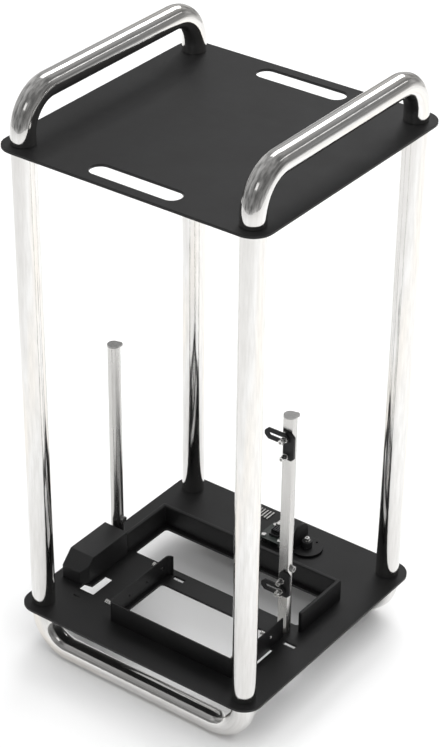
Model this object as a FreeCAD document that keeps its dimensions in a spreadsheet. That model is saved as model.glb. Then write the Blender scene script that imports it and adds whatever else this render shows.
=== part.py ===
"""Open tube-and-plate chassis of a desktop filament printer.

Axes: +X to the right along the foot rails, +Y to the back along the handles, +Z up.
Origin: centre of the footprint, on the surface that the foot rails stand on.
Millimetres.
"""
import FreeCAD
import Part
import math
import os

import Sketcher

V = FreeCAD.Vector
TURN = FreeCAD.Rotation
UP = V(0, 0, 1)
ORIGIN = (0, 0, 0)
SIDEWAYS = (1, 0, 0)
BACKWARDS = (0, 1, 0)
DOWNWARDS = (0, 0, -1)
ZERO = "0"
TINY = 1e-6
CLEAR_DIA = "(dims.screw_dia + 0.4)"
TAPPED_DIA = "(dims.screw_dia + 0.1)"

DIMENSIONS = [
    # plates
    ("plate_side", 310.0),
    ("plate_thick", 3.0),
    ("corner_radius", 21.6),
    ("grip_slot_length", 105.0),
    ("grip_slot_width", 22.0),
    ("grip_slot_offset", 132.0),
    ("opening_radius", 4.0),
    # chrome tubes
    ("tube_dia", 25.4),
    ("tube_wall", 1.5),
    ("leg_offset", 133.4),
    ("leg_length", 540.0),
    ("bend_radius", 38.0),
    ("bend_rise", 47.0),
    ("plug_play", 0.05),
    ("leg_plug_length", 20.0),
    ("bend_plug_length", 8.0),
    ("stud_dia", 8.0),
    ("stud_play", 0.2),
    # openings of the lower deck
    ("bay_half_width", 110.0),
    ("bay_front", -4.7),
    ("bay_back", 52.0),
    ("tray_hole_left", -51.0),
    ("tray_hole_right", 103.0),
    ("tray_hole_front", -113.0),
    ("tray_hole_back", -32.0),
    # low walls on the deck
    ("wall_height", 25.0),
    ("guard_thick", 5.0),
    ("guard_lip", 5.0),
    ("guard_reach", 7.3),
    ("guard_end_radius", 2.0),
    ("guard_top_radius", 1.5),
    ("sheet_thick", 1.5),
    ("tray_left", -56.5),
    ("tray_right", 108.5),
    ("tray_front", -118.0),
    ("tray_left_back", -13.0),
    ("tray_right_back", -29.5),
    ("tray_bend", 6.0),
    # supply cover
    ("cover_left", -145.0),
    ("cover_right", -113.0),
    ("cover_front", -88.0),
    ("cover_back", -13.5),
    ("cover_height", 30.5),
    ("cover_slope", 15.0),
    ("cover_wall", 1.6),
    # guide posts
    ("post_dia", 14.2),
    ("post_flat", 4.3),
    ("post_right_x", 103.0),
    ("post_right_y", -20.0),
    ("post_right_length", 271.0),
    ("post_left_x", -136.5),
    ("post_left_y", -2.0),
    ("post_left_length", 256.0),
    ("anchor_depth", 10.0),
    ("thread_depth", 8.0),
    # adjustable stops on the right-hand post
    ("bracket_width", 13.0),
    ("bracket_height", 31.6),
    ("bracket_thick", 3.0),
    ("bracket_chamfer", 3.0),
    ("arm_play", 0.15),
    ("upper_bracket_z", 238.8),
    ("upper_pivot_rise", 9.0),
    ("upper_clamp_rise", -12.3),
    ("lower_bracket_z", 66.8),
    ("lower_pivot_rise", -8.4),
    ("lower_clamp_rise", 3.6),
    ("arm_length", 29.5),
    ("arm_height", 13.0),
    ("arm_thick", 2.0),
    ("arm_slot_length", 20.5),
    ("arm_slot_width", 3.4),
    # small screws
    ("screw_dia", 3.0),
    ("head_dia", 5.5),
    ("head_height", 3.0),
    ("washer_dia", 7.0),
    ("washer_thick", 0.6),
    ("nut_width", 5.5),
    ("nut_height", 4.0),
    # control board at the back of the deck
    ("board_left", -13.5),
    ("board_right", 18.0),
    ("board_front", 94.0),
    ("board_back", 127.0),
    ("board_thick", 1.6),
    ("standoff_height", 6.0),
    ("standoff_dia", 6.0),
    # swivel foot behind the bay
    ("swivel_x", 39.0),
    ("swivel_y", 115.0),
    ("swivel_dia", 36.0),
    ("swivel_thick", 2.5),
    ("ear_radius", 12.5),
    ("ear_height", 26.0),
    ("ear_thick", 3.0),
    ("hub_dia", 12.0),
    ("hub_height", 8.5),
    ("pin_dia", 6.0),
    ("pin_play", 0.05),
    ("shoulder_dia", 12.0),
    ("shoulder_thick", 0.5),
    ("pin_nut_height", 3.0),
]

doc = FreeCAD.newDocument("filament_printer_chassis")
sheet = doc.addObject("Spreadsheet::Sheet", "dims")
for row, (alias, value) in enumerate(DIMENSIONS, start=1):
    sheet.set(f"A{row}", alias)
    sheet.set(f"B{row}", str(value))
    sheet.setAlias(f"B{row}", alias)
doc.recompute()
SIZE = {alias: float(sheet.get(alias)) for alias, _ in DIMENSIONS}

# heights of the main faces, as formulas on the sheet and as numbers
DECK_BASE = "(dims.tube_dia / 2 + dims.bend_rise)"
DECK_TOP = f"({DECK_BASE} + dims.plate_thick)"
SHELF_BASE = f"({DECK_TOP} + dims.leg_length)"
SHELF_TOP = f"({SHELF_BASE} + dims.plate_thick)"
deck_base = SIZE["tube_dia"] / 2 + SIZE["bend_rise"]
deck_top = deck_base + SIZE["plate_thick"]
shelf_base = deck_top + SIZE["leg_length"]
shelf_top = shelf_base + SIZE["plate_thick"]

nodes = []


def bind(thing, prop, value):
    """Set a property from a formula on the sheet, or from a plain number."""
    if isinstance(value, str):
        thing.setExpression(prop, value)
    else:
        setattr(thing, prop, value)


def place(thing, x, y, z):
    """Put an object at a point whose coordinates may be formulas."""
    for axis, value in zip("xyz", (x, y, z)):
        thing.setExpression(f"Placement.Base.{axis}", str(value))


def node(thing, label):
    """Name a finished piece, so that it is written to a file of its own."""
    thing.Label = label
    nodes.append(thing)
    return thing


def block(name, size, corner):
    """A rectangular block with its lowest corner at the given point."""
    thing = doc.addObject("Part::Box", name)
    for prop, value in zip(("Length", "Width", "Height"), size):
        bind(thing, prop, value)
    place(thing, *corner)
    return thing


def rod(name, diameter, length, foot):
    """An upright solid cylinder standing on the given point."""
    thing = doc.addObject("Part::Cylinder", name)
    bind(thing, "Radius", f"({diameter}) / 2")
    bind(thing, "Height", length)
    place(thing, *foot)
    return thing


def cut(name, base, *tools):
    """The base with every tool taken away."""
    if len(tools) > 1:
        tool = doc.addObject("Part::MultiFuse", name + "_tools")
        tool.Shapes = list(tools)
    else:
        tool = tools[0]
    thing = doc.addObject("Part::Cut", name)
    thing.Base = base
    thing.Tool = tool
    return thing


def fuse(name, *shapes):
    """Several overlapping shapes made one solid."""
    thing = doc.addObject("Part::MultiFuse", name)
    thing.Shapes = list(shapes)
    thing.Refine = True
    return thing


def group(name, shapes):
    """Identical separate solids kept together as one node."""
    thing = doc.addObject("Part::Compound", name)
    thing.Links = list(shapes)
    return thing


def turned(thing, point, direction):
    """Lay a piece that was built upwards from the origin, from a point along a direction."""
    for axis in "xyz":
        thing.setExpression(f"Placement.Base.{axis}", None)
    thing.Placement = FreeCAD.Placement(V(*point), TURN(UP, V(*direction)))
    return thing


# --- sketches -------------------------------------------------------------------------


def start_body(name, plane):
    """A PartDesign body and a first sketch on one of its own origin planes."""
    body = doc.addObject("PartDesign::Body", name)
    return body, add_sketch(body, plane, name + "_outline")


def add_sketch(body, plane, name):
    sketch = body.newObject("Sketcher::SketchObject", name)
    origin_plane = next(f for f in body.Origin.OriginFeatures if f.Role == plane)
    sketch.AttachmentSupport = [(origin_plane, "")]
    sketch.MapMode = "FlatFace"
    return sketch


def dimension(sketch, kind, items, formula):
    """Add one driving dimension to a sketch and tie it to the sheet."""
    index = sketch.addConstraint(Sketcher.Constraint(kind, *items, sheet_value(formula)))
    sketch.setExpression(f"Constraints[{index}]", formula)


def sheet_value(formula):
    """Work out a formula on the sheet as a number."""
    answer = sheet.evalExpression(formula)
    return float(getattr(answer, "Value", answer))


def draw_loop(sketch, corners):
    """A closed loop of straight lines whose corners are tied to the sheet."""
    first = sketch.GeometryCount
    points = [V(sheet_value(x), sheet_value(y), 0) for x, y in corners]
    count = len(points)
    for i in range(count):
        sketch.addGeometry(Part.LineSegment(points[i], points[(i + 1) % count]), False)
    for i in range(count):
        follower = first + (i + 1) % count
        sketch.addConstraint(Sketcher.Constraint("Coincident", first + i, 2, follower, 1))
    for i, (x, y) in enumerate(corners):
        dimension(sketch, "DistanceX", (-1, 1, first + i, 1), x)
        dimension(sketch, "DistanceY", (-1, 1, first + i, 1), y)


def draw_rectangle(sketch, left, right, front, back):
    draw_loop(sketch, [(left, front), (right, front), (right, back), (left, back)])


def draw_circle(sketch, x, y, diameter):
    centre = V(sheet_value(x), sheet_value(y), 0)
    index = sketch.addGeometry(Part.Circle(centre, UP, sheet_value(diameter) / 2), False)
    dimension(sketch, "DistanceX", (-1, 1, index, 3), x)
    dimension(sketch, "DistanceY", (-1, 1, index, 3), y)
    dimension(sketch, "Diameter", (index,), diameter)


def draw_slot(sketch, x, y, length, width):
    """An obround slot that runs along the sketch's first axis."""
    r = sheet_value(width) / 2
    reach = sheet_value(length) / 2 - r
    cx, cy = sheet_value(x), sheet_value(y)
    quarter = math.pi / 2
    right = sketch.addGeometry(
        Part.ArcOfCircle(Part.Circle(V(cx + reach, cy, 0), UP, r), -quarter, quarter), False)
    left = sketch.addGeometry(
        Part.ArcOfCircle(Part.Circle(V(cx - reach, cy, 0), UP, r), quarter, 3 * quarter), False)
    top = sketch.addGeometry(
        Part.LineSegment(V(cx + reach, cy + r, 0), V(cx - reach, cy + r, 0)), False)
    base = sketch.addGeometry(
        Part.LineSegment(V(cx - reach, cy - r, 0), V(cx + reach, cy - r, 0)), False)
    for first, first_end, second, second_end in (
            (right, 2, top, 1), (top, 2, left, 1), (left, 2, base, 1), (base, 2, right, 1)):
        sketch.addConstraint(
            Sketcher.Constraint("Tangent", first, first_end, second, second_end))
    dimension(sketch, "Radius", (right,), f"({width}) / 2")
    for arc, sign in ((right, "+"), (left, "-")):
        reach_formula = f"({x}) {sign} (({length}) - ({width})) / 2"
        dimension(sketch, "DistanceX", (-1, 1, arc, 3), reach_formula)
    dimension(sketch, "DistanceY", (-1, 1, right, 3), y)


def pad(body, sketch, length):
    feature = body.newObject("PartDesign::Pad", sketch.Name + "_pad")
    feature.Profile = sketch
    bind(feature, "Length", length)
    sketch.Visibility = False
    doc.recompute()
    return feature


def pocket(body, sketch, length):
    """A pocket upwards from the sketch; the volume has to shrink."""
    before = body.Shape.Volume
    feature = body.newObject("PartDesign::Pocket", sketch.Name + "_pocket")
    feature.Profile = sketch
    bind(feature, "Length", length)
    feature.Reversed = True
    doc.recompute()
    if body.Shape.Volume >= before:
        raise RuntimeError(f"{feature.Name} cuts nothing")
    return feature


def edges_where(feature, test):
    """The names of the edges whose two end points both pass the test."""
    names = []
    for i, edge in enumerate(feature.Shape.Edges, start=1):
        if len(edge.Vertexes) == 2 and all(test(v.Point) for v in edge.Vertexes):
            names.append(f"Edge{i}")
    return names


def upright_edges(feature, test=lambda p: True):
    """The names of the vertical straight edges that pass the test."""
    names = []
    for i, edge in enumerate(feature.Shape.Edges, start=1):
        ends = [v.Point for v in edge.Vertexes]
        if len(ends) != 2:
            continue
        a, b = ends
        if math.hypot(a.x - b.x, a.y - b.y) < TINY and test(a):
            names.append(f"Edge{i}")
    return names


def round_edges(body, feature, names, radius):
    fillet = body.newObject("PartDesign::Fillet", feature.Name + "_round")
    fillet.Base = (feature, names)
    bind(fillet, "Radius", radius)
    doc.recompute()
    return fillet


def bevel_edges(body, feature, names, amount):
    chamfer = body.newObject("PartDesign::Chamfer", feature.Name + "_bevel")
    chamfer.Base = (feature, names)
    bind(chamfer, "Size", amount)
    doc.recompute()
    return chamfer


CORNERS = [(sx, sy) for sy in (-1, 1) for sx in (-1, 1)]
CORNER_NAMES = {(-1, -1): "front_left", (1, -1): "front_right",
                (-1, 1): "back_left", (1, 1): "back_right"}


# --- chrome tube frame ----------------------------------------------------------------


def straight_leg(name, sx, sy):
    """One straight leg between the two plates."""
    foot = (f"{sx} * dims.leg_offset", f"{sy} * dims.leg_offset", DECK_TOP)
    outside = rod(name + "_outside", "dims.tube_dia", "dims.leg_length", foot)
    inside = rod(name + "_inside", "dims.tube_dia - 2 * dims.tube_wall", "dims.leg_length", foot)
    return node(cut(name + "_tube", outside, inside), name)


def bent_tube(name, turn, height):
    """A U-bent tube: two short feet, two bends and a long straight grip."""
    body = doc.addObject("PartDesign::Body", name + "_body")
    half = SIZE["leg_offset"]
    rise = SIZE["bend_rise"]
    r = SIZE["bend_radius"]
    path = add_sketch(body, "XZ_Plane", name + "_path")
    diagonal = r * math.sqrt(0.5)
    pieces = [
        Part.LineSegment(V(-half, 0, 0), V(-half, rise - r, 0)),
        Part.Arc(V(-half, rise - r, 0), V(-half + r - diagonal, rise - r + diagonal, 0),
                 V(-half + r, rise, 0)),
        Part.LineSegment(V(-half + r, rise, 0), V(half - r, rise, 0)),
        Part.Arc(V(half - r, rise, 0), V(half - r + diagonal, rise - r + diagonal, 0),
                 V(half, rise - r, 0)),
        Part.LineSegment(V(half, rise - r, 0), V(half, 0, 0)),
    ]
    for piece in pieces:
        path.addGeometry(piece, False)
    for joint in ((0, 2, 1, 2), (1, 1, 2, 1), (2, 2, 3, 2), (3, 1, 4, 1)):
        path.addConstraint(Sketcher.Constraint("Tangent", *joint))
    path.addConstraint(Sketcher.Constraint("Horizontal", 2))
    for side, point in (("-", (0, 1)), ("", (4, 2))):
        dimension(path, "DistanceX", (-1, 1, *point), f"{side}dims.leg_offset")
        dimension(path, "DistanceY", (-1, 1, *point), ZERO)
    dimension(path, "DistanceY", (-1, 1, 2, 1), "dims.bend_rise")
    for arc in (1, 3):
        dimension(path, "Radius", (arc,), "dims.bend_radius")
    ring = add_sketch(body, "XY_Plane", name + "_ring")
    for diameter in ("dims.tube_dia", "dims.tube_dia - 2 * dims.tube_wall"):
        draw_circle(ring, "-dims.leg_offset", ZERO, diameter)
    doc.recompute()
    pipe = body.newObject("PartDesign::AdditivePipe", name + "_pipe")
    pipe.Profile = ring
    pipe.Spine = path
    body.Placement = FreeCAD.Placement(V(0, 0, 0), turn)
    for axis, value in zip("xyz", height):
        body.setExpression(f"Placement.Base.{axis}", value)
    return node(body, name)


def chrome_frame():
    for sx, sy in CORNERS:
        straight_leg("leg_" + CORNER_NAMES[sx, sy], sx, sy)
    quarter_turn = TURN(UP, 90)
    for side, name in ((-1, "handle_left"), (1, "handle_right")):
        bent_tube(name, quarter_turn, (f"{side} * dims.leg_offset", ZERO, SHELF_TOP))
    upside_down = TURN(V(1, 0, 0), 180)
    for side, name in ((-1, "foot_rail_front"), (1, "foot_rail_back")):
        bent_tube(name, upside_down, (ZERO, f"{side} * dims.leg_offset", DECK_BASE))


def tube_joints():
    """Tapped plugs in the tube ends and the studs that clamp the plates between them."""
    plug_dia = "dims.tube_dia - 2 * dims.tube_wall - 2 * dims.plug_play"
    bore_dia = "dims.stud_dia + 2 * dims.plug_play"
    plugs = []
    studs = []
    lower = [("leg_plug_length", DECK_TOP),
             ("bend_plug_length", f"{DECK_BASE} - dims.bend_plug_length")]
    upper = [("leg_plug_length", f"{SHELF_BASE} - dims.leg_plug_length"),
             ("bend_plug_length", SHELF_TOP)]
    for sx, sy in CORNERS:
        x, y = f"{sx} * dims.leg_offset", f"{sy} * dims.leg_offset"
        tag = CORNER_NAMES[sx, sy]
        for level, ends in (("deck", lower), ("shelf", upper)):
            for k, (length, z) in enumerate(ends):
                name = f"plug_{tag}_{level}_{k}"
                outside = rod(name + "_body", plug_dia, f"dims.{length}", (x, y, z))
                bore = rod(name + "_bore", bore_dia, f"dims.{length}", (x, y, z))
                plugs.append(cut(name, outside, bore))
        stud_length = "dims.leg_plug_length + dims.plate_thick + dims.bend_plug_length"
        for level, foot in (("deck", f"{DECK_BASE} - dims.bend_plug_length"),
                            ("shelf", f"{SHELF_BASE} - dims.leg_plug_length")):
            studs.append(rod(f"stud_{tag}_{level}", "dims.stud_dia", stud_length, (x, y, foot)))
    node(group("plug_group", plugs), "tube_plugs")
    node(group("stud_group", studs), "joint_studs")


# --- plates ---------------------------------------------------------------------------


def square_plate(name):
    """A square plate with round corners, lying on the sketch plane."""
    body, outline = start_body(name + "_body", "XY_Plane")
    half = "dims.plate_side / 2"
    draw_rectangle(outline, "-" + half, half, "-" + half, half)
    slab = pad(body, outline, "dims.plate_thick")
    round_edges(body, slab, upright_edges(slab), "dims.corner_radius")
    return body


def stud_holes(sketch):
    for sx, sy in CORNERS:
        draw_circle(sketch, f"{sx} * dims.leg_offset", f"{sy} * dims.leg_offset",
                    "dims.stud_dia + 2 * dims.stud_play")


def top_shelf():
    body = square_plate("top_shelf")
    slots = add_sketch(body, "XY_Plane", "top_shelf_slots")
    for side in ("-", ""):
        draw_slot(slots, ZERO, f"{side}dims.grip_slot_offset",
                  "dims.grip_slot_length", "dims.grip_slot_width")
    stud_holes(slots)
    pocket(body, slots, "dims.plate_thick")
    place(body, 0, 0, SHELF_BASE)
    node(body, "top_shelf")


TAB_SLOT_LONG = 15.0
TAB_SLOT_WIDE = 6.0
CROSS_TABS = [(-40.3, -15.9), (121.7, -35.7)]
SIDE_TAB = (110.8, -67.5)
SIDE_TAB_LONG = 30.0
SIDE_TAB_WIDE = 4.4
MARK_TAB = (-110.0, -106.5)
MARK_TAB_LONG = 9.0
MARK_TAB_WIDE = 1.6
STEP_CUT = [(-118.0, -94.0), (-97.2, -94.0), (-97.2, -58.5),
            (-108.5, -58.5), (-108.5, -81.5), (-118.0, -83.5)]


def bottom_deck():
    body = square_plate("bottom_deck")
    openings = add_sketch(body, "XY_Plane", "bottom_deck_openings")
    draw_rectangle(openings, "-dims.bay_half_width", "dims.bay_half_width",
                   "dims.bay_front", "dims.bay_back")
    draw_rectangle(openings, "dims.tray_hole_left", "dims.tray_hole_right",
                   "dims.tray_hole_front", "dims.tray_hole_back")
    draw_loop(openings, [(str(x), str(y)) for x, y in STEP_CUT])
    stud_holes(openings)
    cut_out = pocket(body, openings, "dims.plate_thick")

    bay = (-SIZE["bay_half_width"], SIZE["bay_half_width"], SIZE["bay_front"], SIZE["bay_back"])
    tray = tuple(SIZE[f"tray_hole_{side}"] for side in ("left", "right", "front", "back"))

    def on_big_opening(p):
        return any(left - TINY < p.x < right + TINY and front - TINY < p.y < back + TINY
                   for left, right, front, back in (bay, tray))

    round_edges(body, cut_out, upright_edges(cut_out, on_big_opening), "dims.opening_radius")
    small = add_sketch(body, "XY_Plane", "bottom_deck_slots")
    slots = [(place_at, (TAB_SLOT_LONG, TAB_SLOT_WIDE)) for place_at in CROSS_TABS]
    slots += [(SIDE_TAB, (SIDE_TAB_WIDE, SIDE_TAB_LONG)), (MARK_TAB, (MARK_TAB_LONG, MARK_TAB_WIDE))]
    for (x, y), (across, deep) in slots:
        draw_rectangle(small, str(x - across / 2), str(x + across / 2), str(y - deep / 2), str(y + deep / 2))
    for side in ("left", "right"):
        draw_circle(small, f"dims.post_{side}_x", f"dims.post_{side}_y", CLEAR_DIA)
    draw_circle(small, "dims.swivel_x", "dims.swivel_y", "dims.pin_dia")
    pocket(body, small, "dims.plate_thick")
    place(body, 0, 0, DECK_BASE)
    node(body, "bottom_deck")


FIN_FIRST_X = -62.0
FIN_PITCH = 4.0
FIN_COUNT = 9
FIN_SIZE = (1.7, 15.0, 1.2)
FIN_FRONT = 133.5


def cooling_fins():
    """A row of low bare fins on the back edge of the deck."""
    fins = [block(f"fin_{i}", FIN_SIZE, (FIN_FIRST_X + i * FIN_PITCH, FIN_FRONT, DECK_TOP))
            for i in range(FIN_COUNT)]
    node(group("fin_group", fins), "cooling_fins")


# --- low walls on the deck ------------------------------------------------------------


def bay_guard():
    """The U-shaped upstand round three sides of the rear bay, open to the front."""
    body, outline = start_body("bay_guard_body", "XY_Plane")
    inner = "dims.bay_half_width + dims.guard_lip"
    outer = f"{inner} + dims.guard_thick"
    inner_back = "dims.bay_back + dims.guard_lip"
    outer_back = f"{inner_back} + dims.guard_thick"
    front = "dims.bay_front - dims.guard_reach"
    draw_loop(outline, [
        (f"-({outer})", front), (f"-({inner})", front),
        (f"-({inner})", inner_back), (inner, inner_back),
        (inner, front), (outer, front),
        (outer, outer_back), (f"-({outer})", outer_back)])
    wall = pad(body, outline, "dims.wall_height")
    front_y = SIZE["bay_front"] - SIZE["guard_reach"]
    front_ends = upright_edges(wall, lambda p: abs(p.y - front_y) < TINY)
    soft_ends = round_edges(body, wall, front_ends, "dims.guard_end_radius")
    top = SIZE["wall_height"]
    top_edges = edges_where(soft_ends, lambda p: abs(p.z - top) < TINY)
    round_edges(body, soft_ends, top_edges, "dims.guard_top_radius")
    place(body, 0, 0, DECK_TOP)
    node(body, "bay_guard")


FLANGE_HOLES = [-54.0, -84.0]
FLANGE_HOLE_DIA = 3.2
FLANGE_HOLE_Z = 12.0
SPACER_Z = 15.0
SPACER_LEFT_Y = (-109.0, -27.0)
SPACER_RIGHT_Y = (-105.0, -53.0)
SPACER_LENGTH = 7.0
SPACER_DIA = 5.0
BOLT_END = 1.0
LIP_REACH = 7.0


def tray_frame():
    """Bent-sheet frame round the front opening: two side flanges, a front wall and a rear lip."""
    depth = "dims.tray_left_back - dims.tray_front"
    outside = block("tray_outside", ("dims.tray_right - dims.tray_left", depth, "dims.wall_height"),
                    ("dims.tray_left", "dims.tray_front", DECK_TOP))
    inside = block("tray_inside",
                   ("dims.tray_right - dims.tray_left - 2 * dims.sheet_thick",
                    f"{depth} - 2 * dims.sheet_thick", "dims.wall_height"),
                   ("dims.tray_left + dims.sheet_thick", "dims.tray_front + dims.sheet_thick", DECK_TOP))
    doc.recompute()

    def rounded(base, radius):
        """The block with its upright edges rounded."""
        fillet = doc.addObject("Part::Fillet", base.Name + "_round")
        fillet.Base = base
        fillet.Edges = [(int(name[4:]), radius, radius) for name in upright_edges(base)]
        return fillet

    shell = cut("tray_shell", rounded(outside, SIZE["tray_bend"]),
                rounded(inside, SIZE["tray_bend"] - SIZE["sheet_thick"]))
    lip_end = f"(dims.tray_left + {LIP_REACH})"
    open_back = block("tray_open_back",
                      (f"dims.tray_right - {lip_end}", "dims.tray_left_back - dims.tray_right_back",
                       "dims.wall_height"),
                      (lip_end, "dims.tray_right_back", DECK_TOP))
    drills = []
    long_drill = SIZE["sheet_thick"] * 4
    for i, y in enumerate(FLANGE_HOLES):
        drill = rod(f"flange_drill_{i}", FLANGE_HOLE_DIA, long_drill, ORIGIN)
        place_on_flange = (SIZE["tray_left"] - SIZE["sheet_thick"], y, deck_top + FLANGE_HOLE_Z)
        drills.append(turned(drill, place_on_flange, SIDEWAYS))
    sides = [(SIZE["tray_left"], SPACER_LEFT_Y),
             (SIZE["tray_right"] - SIZE["sheet_thick"], SPACER_RIGHT_Y)]
    spacers = []
    screws = []
    bolt_length = SPACER_LENGTH + SIZE["sheet_thick"] + BOLT_END
    for x, places in sides:
        for y in places:
            tag = len(spacers)
            drill = rod(f"spacer_drill_{tag}", FLANGE_HOLE_DIA, long_drill, ORIGIN)
            drills.append(turned(drill, (x - SIZE["sheet_thick"], y, deck_top + SPACER_Z), SIDEWAYS))
            outer_end = (x - SPACER_LENGTH, y, deck_top + SPACER_Z)
            spacer = ring(f"spacer_{tag}", SPACER_DIA, CLEAR_DIA, SPACER_LENGTH)
            spacers.append(turned(spacer, outer_end, SIDEWAYS))
            bolt = socket_screw(f"tray_screw_{tag}", bolt_length)
            screws.append(turned(bolt, outer_end, SIDEWAYS))
    node(cut("tray_frame_cut", shell, open_back, *drills), "tray_frame")
    node(group("tray_spacer_group", spacers), "tray_spacers")
    node(group("tray_screw_group", screws), "tray_screws")


def socket_screw(name, length):
    """A socket-head cap screw: shank up from the origin, head below it."""
    shank = rod(name + "_shank", "dims.screw_dia", length, ORIGIN)
    head = rod(name + "_head", "dims.head_dia", "dims.head_height", (0, 0, "-dims.head_height"))
    body = fuse(name + "_body", shank, head)
    socket = doc.addObject("Part::Prism", name + "_socket")
    socket.Polygon = 6
    bind(socket, "Circumradius", "dims.screw_dia * 0.48")
    bind(socket, "Height", "dims.head_height * 0.6")
    place(socket, 0, 0, "-dims.head_height")
    return cut(name, body, socket)


# --- supply cover ---------------------------------------------------------------------

MODULE_MARGIN = 3.0
MODULE_HEIGHT = 20.0
TERMINAL_SIZE = (22.0, 8.0, 12.0)
TERMINAL_WAYS = 3
TERMINAL_GAP = 0.5
WELL_DIA = 4.5
WELL_DEPTH = 4.0


def supply_cover():
    """Thin shell open at the bottom, its front end sloped at 45 degrees."""
    body, profile = start_body("supply_cover_body", "YZ_Plane")
    top = "dims.cover_height"
    step = "dims.cover_height - dims.cover_slope"
    slope_back = "dims.cover_front + dims.cover_slope"
    draw_loop(profile, [("dims.cover_front", ZERO), ("dims.cover_back", ZERO),
                        ("dims.cover_back", top), (slope_back, top), ("dims.cover_front", step)])
    solid = pad(body, profile, "dims.cover_right - dims.cover_left")
    far = SIZE["cover_right"] - SIZE["cover_left"]
    front = SIZE["cover_front"]
    corner = edges_where(solid, lambda p: abs(p.x - far) < TINY and abs(p.y - front) < TINY)
    bevelled = bevel_edges(body, solid, corner, "dims.cover_slope / 2")
    shell = body.newObject("PartDesign::Thickness", "supply_cover_shell")
    base_face = next(f"Face{i}" for i, face in enumerate(bevelled.Shape.Faces, start=1)
                     if face.BoundBox.ZMax < TINY)
    shell.Base = (bevelled, [base_face])
    shell.Mode = 0
    shell.Join = 1
    shell.Reversed = True
    bind(shell, "Value", "dims.cover_wall")
    place(body, "dims.cover_left", 0, DECK_TOP)
    node(body, "supply_cover")


def supply_insides():
    """The power module and its screw terminals under the cover."""
    left = SIZE["cover_left"] + SIZE["cover_wall"] + MODULE_MARGIN
    right = SIZE["cover_right"] - SIZE["cover_wall"] - MODULE_MARGIN
    back = SIZE["cover_back"] - SIZE["cover_wall"] - MODULE_MARGIN
    front = SIZE["cover_front"] + SIZE["cover_slope"] + 2 * MODULE_MARGIN
    case_size = (right - left, back - front, MODULE_HEIGHT)
    node(block("supply_case", case_size, (left, front, DECK_TOP)), "supply_module")
    long, deep, tall = TERMINAL_SIZE
    x0 = (left + right - long) / 2
    y0 = front - deep - TERMINAL_GAP
    strip = block("terminal_body", TERMINAL_SIZE, (x0, y0, DECK_TOP))
    pitch = long / TERMINAL_WAYS
    well_z = f"{DECK_TOP} + {tall - WELL_DEPTH}"
    wells = []
    for i in range(TERMINAL_WAYS):
        well_foot = (x0 + pitch * (i + 0.5), y0 + deep / 2, well_z)
        wells.append(rod(f"terminal_well_{i}", WELL_DIA, WELL_DEPTH, well_foot))
    node(cut("terminal_strip_cut", strip, *wells), "terminal_strip")


# --- guide posts ----------------------------------------------------------------------

CAP_DIA = "dims.post_dia"
CAP_HEIGHT = 1.8
LUG_DIA = 8.4
LUG_OFFSET_X = 3.6
LUG_OFFSET_Y = 3.9
KNOB_DIA = 7.0
KNOB_HEIGHT = 3.4
KNOB_Z = {"left": 35.0, "right": 85.5}
FLAT_TURN = {"left": -90, "right": 0}


def guide_post(side):
    """A solid drawn bar: round back and flat front, with a cap and a side lock."""
    x, y = f"dims.post_{side}_x", f"dims.post_{side}_y"
    body, outline = start_body(f"post_{side}_body", "XY_Plane")
    r = SIZE["post_dia"] / 2
    face = -SIZE["post_flat"]
    half_flat = math.sqrt(r ** 2 - face ** 2)
    left_end = V(-half_flat, face, 0)
    right_end = V(half_flat, face, 0)
    back = outline.addGeometry(Part.Arc(right_end, V(0, r, 0), left_end), False)
    front = outline.addGeometry(Part.LineSegment(left_end, right_end), False)
    outline.addConstraint(Sketcher.Constraint("Coincident", back, 2, front, 1))
    outline.addConstraint(Sketcher.Constraint("Coincident", back, 1, front, 2))
    outline.addConstraint(Sketcher.Constraint("Coincident", back, 3, -1, 1))
    outline.addConstraint(Sketcher.Constraint("Horizontal", front))
    dimension(outline, "Radius", (back,), "dims.post_dia / 2")
    dimension(outline, "DistanceY", (-1, 1, front, 1), "-dims.post_flat")
    pad(body, outline, f"dims.post_{side}_length")
    body.Placement = FreeCAD.Placement(V(), TURN(UP, FLAT_TURN[side]))
    place(body, x, y, DECK_TOP)
    foot_thread = rod(f"post_{side}_foot_thread", TAPPED_DIA, "dims.anchor_depth + 1", (x, y, DECK_TOP))
    threads = [foot_thread]
    if side == "right":
        front_y = SIZE["post_right_y"] - SIZE["post_flat"]
        for level in ("upper", "lower"):
            for role in ("pivot", "clamp"):
                thread = rod(f"{level}_{role}_thread", TAPPED_DIA, "dims.thread_depth", ORIGIN)
                mouth = (SIZE["post_right_x"], front_y, stop_screw_height(level, role))
                threads.append(turned(thread, mouth, BACKWARDS))
    node(cut(f"post_{side}_tapped", body, *threads), f"post_{side}")

    top = f"{DECK_TOP} + dims.post_{side}_length"
    disc = rod(f"cap_{side}_disc", CAP_DIA, CAP_HEIGHT, (x, y, top))
    lug_foot = (f"{x} + {LUG_OFFSET_X}", f"{y} + {LUG_OFFSET_Y}", top)
    lug = rod(f"cap_{side}_lug", LUG_DIA, CAP_HEIGHT, lug_foot)
    doc.recompute()
    node(fuse(f"cap_{side}", disc, lug), f"post_cap_{side}")

    knob_foot = (SIZE[f"post_{side}_x"] + r, SIZE[f"post_{side}_y"], deck_top + KNOB_Z[side])
    knob = rod(f"knob_{side}_disc", KNOB_DIA, KNOB_HEIGHT, ORIGIN)
    hollow_depth = KNOB_HEIGHT / 3
    hollow_foot = (0, 0, KNOB_HEIGHT - hollow_depth)
    hollow = rod(f"knob_{side}_hollow", KNOB_DIA / 2, hollow_depth, hollow_foot)
    node(turned(cut(f"knob_{side}", knob, hollow), knob_foot, SIDEWAYS), f"post_lock_{side}")


def stop_screw_height(level, role):
    """The height of a stop's pivot screw or of its clamp screw."""
    return deck_top + SIZE[f"{level}_bracket_z"] + SIZE[f"{level}_{role}_rise"]


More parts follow.
